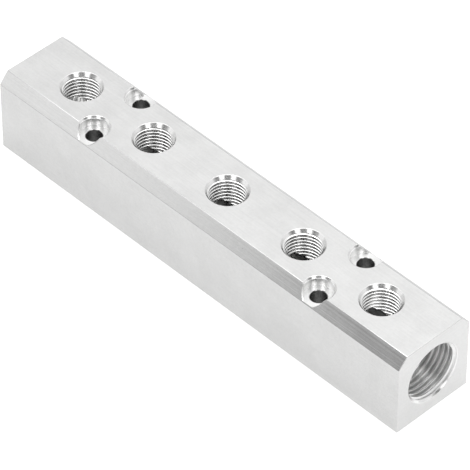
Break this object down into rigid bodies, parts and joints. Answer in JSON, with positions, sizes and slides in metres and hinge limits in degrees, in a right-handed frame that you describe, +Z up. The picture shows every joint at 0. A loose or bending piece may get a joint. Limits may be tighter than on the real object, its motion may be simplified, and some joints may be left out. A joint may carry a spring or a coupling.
{
  "type": "air manifold block",
  "caption": "Square aluminium bar with angled upper corners: a row of threaded outlets on top, joined by a gallery to a larger threaded port in each end, with counterbored screw holes.",
  "frame": {"origin": "centre of the underside, on the plane the block stands on", "axes": "+X along the bar, towards the end port that the picture shows; +Z up, out of the outlets"},
  "size_m": [0.176, 0.03, 0.03],
  "materials": {
    "block": "satin, as extruded, with bright machined ports"
  },
  "bodies": {
    "root": {"manifold_block": "block"}
  },
  "joints": []
}
